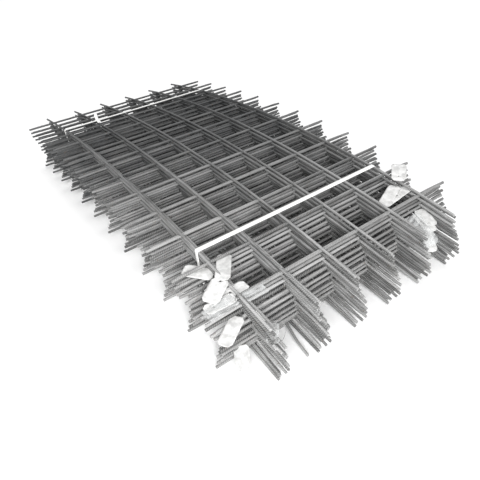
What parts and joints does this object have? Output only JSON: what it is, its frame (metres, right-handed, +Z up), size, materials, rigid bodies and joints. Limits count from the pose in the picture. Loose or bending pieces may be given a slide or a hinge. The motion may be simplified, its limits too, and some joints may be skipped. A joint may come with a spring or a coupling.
{
  "type": "bundle of welded wire mesh panels",
  "caption": "Strapped bundle of flat welded steel reinforcement mesh panels with square cells, bowed along its length, with blank tags at two corners.",
  "frame": {"origin": "on the floor, under the middle of the bundle's outline", "axes": "+Z up, +Y along the long bars towards the far end, +X across towards the side with one card under its outer bar"},
  "size_m": [1.0246, 1.9194, 0.2864],
  "materials": {
    "bare_steel": "bare ribbed bar with dark mill scale",
    "white_strap": "flat woven-look strapping",
    "white_card": "blank coated card"
  },
  "bodies": {
    "root": {"panel_01": "bare_steel", "panel_02": "bare_steel", "panel_03": "bare_steel", "panel_04": "bare_steel", "panel_05": "bare_steel", "panel_06": "bare_steel", "panel_07": "bare_steel", "panel_08": "bare_steel", "panel_09": "bare_steel", "panel_10": "bare_steel", "panel_11": "bare_steel", "panel_12": "bare_steel", "strap_near": "white_strap", "strap_far": "white_strap", "tag_1": "white_card", "tag_2": "white_card", "tag_3": "white_card", "tag_4": "white_card", "tag_5": "white_card", "tag_6": "white_card", "tag_7": "white_card", "tag_8": "white_card"}
  },
  "joints": []
}
